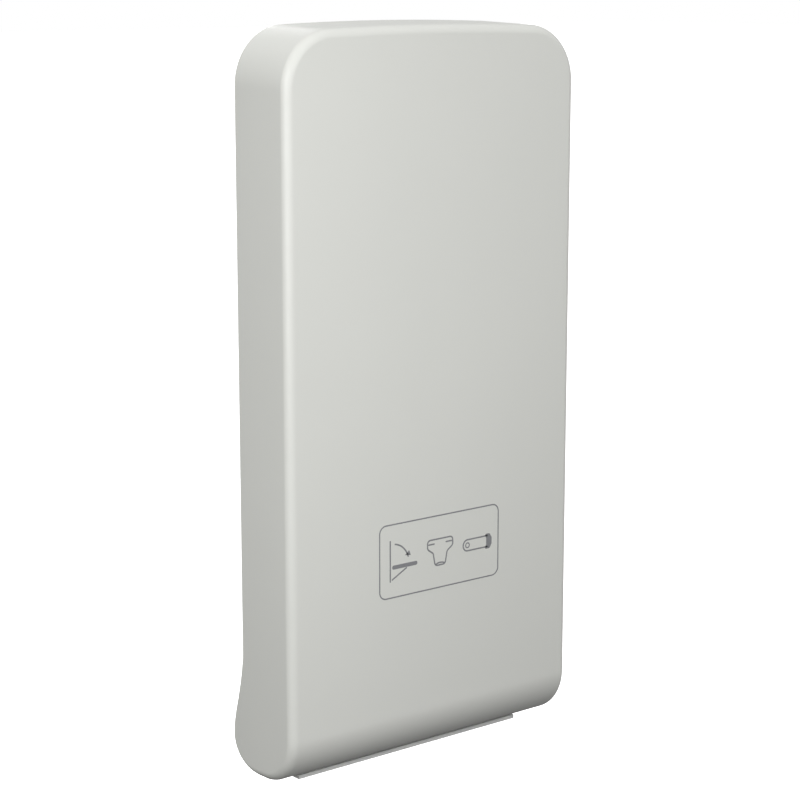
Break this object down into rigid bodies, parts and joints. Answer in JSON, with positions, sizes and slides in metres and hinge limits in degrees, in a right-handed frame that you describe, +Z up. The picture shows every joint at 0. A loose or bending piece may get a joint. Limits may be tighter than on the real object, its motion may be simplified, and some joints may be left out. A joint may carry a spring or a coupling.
{
  "type": "baby changing station",
  "caption": "Vertical wall-mounted fold-down baby changing station: rounded plastic bed with a dished tray, safety strap, gas struts and a lidded liner bin behind it.",
  "frame": {"origin": "centre of the wall plate's back face, on the wall", "axes": "+Z up along the closed bed, +Y into the wall, so the closed bed's front faces -Y and +X is to the right of someone facing it"},
  "size_m": [0.44, 0.137, 0.9],
  "materials": {
    "shell_plastic": "satin, fine moulded grain, pale warm grey",
    "tray_plastic": "fine moulded grain, pale warm grey",
    "panel_plastic": "fine moulded grain, pale grey",
    "plate_steel": "pale grey powder coat",
    "steel": "zinc plated",
    "rod_chrome": "ground and plated",
    "strut_paint": "satin black",
    "black_plastic": "fine grain, black",
    "rubber": "matt",
    "bush_nylon": "satin, off-white",
    "webbing": "woven, dark grey"
  },
  "bodies": {
    "wall_frame": {"back_panel": "panel_plastic", "liner_bin": "panel_plastic", "bag_hook_left": "panel_plastic", "bag_hook_right": "panel_plastic", "wall_plate": "plate_steel", "lip_pad_left": "rubber", "lip_pad_right": "rubber", "stop_bumper_left": "rubber", "stop_bumper_right": "rubber", "catch_housing": "black_plastic", "hinge_bush_left": "bush_nylon", "hinge_bush_right": "bush_nylon", "lid_bracket_left": "steel", "lid_bracket_right": "steel", "lid_pin": "steel", "catch_magnet_left": "steel", "catch_magnet_right": "steel", "hinge_arm_left": "steel", "hinge_arm_right": "steel", "arm_bolt_lower_left": "steel", "arm_bolt_upper_left": "steel", "arm_bolt_lower_right": "steel", "arm_bolt_upper_right": "steel", "strut_bracket_left": "steel", "strut_bracket_right": "steel", "strut_pin_left": "steel", "strut_pin_right": "steel", "panel_screw_1": "steel", "panel_screw_2": "steel", "panel_screw_3": "steel", "panel_screw_4": "steel"},
    "bed": {"bed_shell": "shell_plastic", "bed_tray": "tray_plastic", "tray_screw_1": "steel", "tray_screw_2": "steel", "tray_screw_3": "steel", "tray_screw_4": "steel", "strike_plate": "steel", "bed_hinge_plate_left": "steel", "bed_hinge_plate_right": "steel", "bed_stiffener_left": "steel", "bed_stiffener_right": "steel", "strut_crank_left": "steel", "strut_crank_right": "steel", "axle_collar_left": "steel", "axle_collar_right": "steel", "hinge_axle": "steel", "strap_left": "webbing", "strap_right": "webbing", "strap_anchor_left": "black_plastic", "strap_anchor_right": "black_plastic", "buckle_socket": "black_plastic"},
    "strut_left_tube": {"strut_cylinder_left": "strut_paint"},
    "strut_right_tube": {"strut_cylinder_right": "strut_paint"},
    "strut_left_rod": {"strut_rod_left": "rod_chrome"},
    "strut_right_rod": {"strut_rod_right": "rod_chrome"},
    "lid": {"dispenser_lid": "panel_plastic"},
    "lock": {"lock_barrel": "steel"},
    "buckle_tongue": {"buckle_tongue": "black_plastic"}
  },
  "joints": [
    {"name": "bed_fold", "type": "hinge", "parent": "wall_frame", "child": "bed", "pos_m": [0, -0.075, -0.384], "axis": [1, 0, 0], "range_deg": [0, 90]},
    {"name": "strut_left_swing", "type": "hinge", "parent": "wall_frame", "child": "strut_left_tube", "pos_m": [-0.074, -0.016, -0.054], "axis": [1, 0, 0], "range_deg": [-0.95, 0]},
    {"name": "strut_left_slide", "type": "slide", "parent": "strut_left_tube", "child": "strut_left_rod", "axis": [0, 0.0854, 0.9963], "range_m": [0, 0.0566]},
    {"name": "strut_right_swing", "type": "hinge", "parent": "wall_frame", "child": "strut_right_tube", "pos_m": [0.074, -0.016, -0.054], "axis": [1, 0, 0], "range_deg": [-0.95, 0]},
    {"name": "strut_right_slide", "type": "slide", "parent": "strut_right_tube", "child": "strut_right_rod", "axis": [0, 0.0854, 0.9963], "range_m": [0, 0.0566]},
    {"name": "lid_lift", "type": "hinge", "parent": "wall_frame", "child": "lid", "pos_m": [0, -0.009, 0.352], "axis": [-1, 0, 0], "range_deg": [0, 95]},
    {"name": "lock_turn", "type": "hinge", "parent": "lid", "child": "lock", "pos_m": [0, -0.034, 0.34], "axis": [0, 0, -1], "range_deg": [0, 90]},
    {"name": "buckle_release", "type": "slide", "parent": "bed", "child": "buckle_tongue", "axis": [1, 0, 0], "range_m": [0, 0.03]}
  ],
  "couplings": [
    {"joint": "strut_left_swing", "follows": "bed_fold", "ratio": -0.010143},
    {"joint": "strut_left_slide", "follows": "bed_fold", "m_per_rad": 0.035856},
    {"joint": "strut_right_swing", "follows": "bed_fold", "ratio": -0.010143},
    {"joint": "strut_right_slide", "follows": "bed_fold", "m_per_rad": 0.035856}
  ]
}
